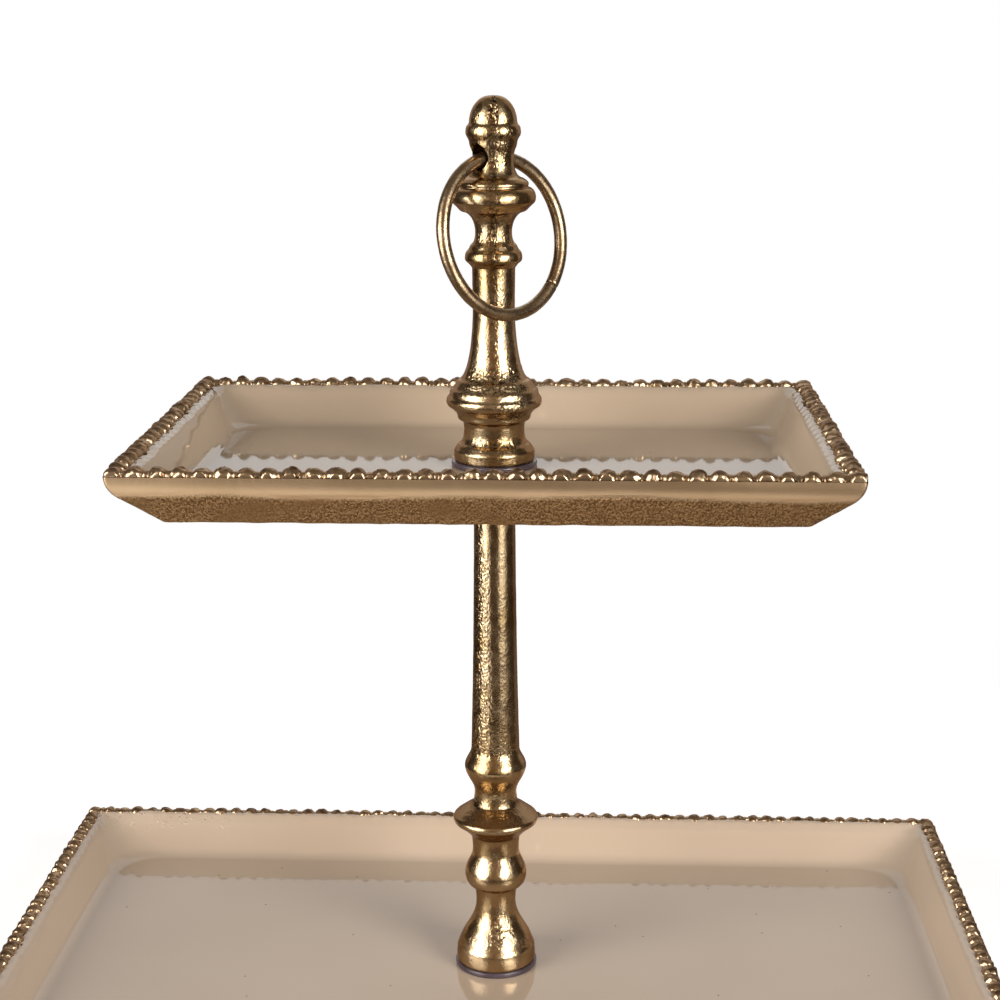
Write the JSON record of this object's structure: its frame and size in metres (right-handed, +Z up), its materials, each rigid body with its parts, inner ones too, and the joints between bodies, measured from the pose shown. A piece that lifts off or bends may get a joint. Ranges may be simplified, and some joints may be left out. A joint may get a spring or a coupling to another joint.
{
  "type": "two-tier tray stand",
  "caption": "Two-tier serving etagere: rectangular enamelled trays with beaded rims on a turned stem, with a swinging ring handle.",
  "frame": {"origin": "on the table, under the middle of the stem and between the feet", "axes": "+X along the length of the trays, +Y towards the back, +Z up along the stem"},
  "size_m": [0.38, 0.224, 0.3488],
  "materials": {
    "stem_metal": "cast aluminium with a polished antique brass finish, brown in the hollows",
    "tray_metal": "sand-cast aluminium in satin antique brass, filed smooth along the rim",
    "ring_metal": "worn antique brass wire",
    "enamel": "glossy poured beige enamel",
    "soft_washer": "translucent purplish grey",
    "steel": "zinc-plated steel",
    "foot_rubber": "matt black rubber"
  },
  "bodies": {
    "stand": {"finial": "stem_metal", "finial_stud": "steel", "upper_column": "stem_metal", "upper_seat_washer": "soft_washer", "upper_enamel": "enamel", "upper_tray": "tray_metal", "under_tray_washer": "steel", "joining_stud": "steel", "lower_column": "stem_metal", "lower_seat_washer": "soft_washer", "lower_enamel": "enamel", "lower_tray": "tray_metal", "base_washer": "steel", "lock_washer": "steel", "base_bolt": "steel", "foot_front_left": "foot_rubber", "foot_front_right": "foot_rubber", "foot_back_left": "foot_rubber", "foot_back_right": "foot_rubber"},
    "ring": {"ring_handle": "ring_metal"}
  },
  "joints": [
    {"name": "ring_swing", "type": "hinge", "parent": "stand", "child": "ring", "pos_m": [0, 0, 0.32718], "axis": [-0.7071, -0.7071, 0], "range_deg": [0, 338]}
  ]
}
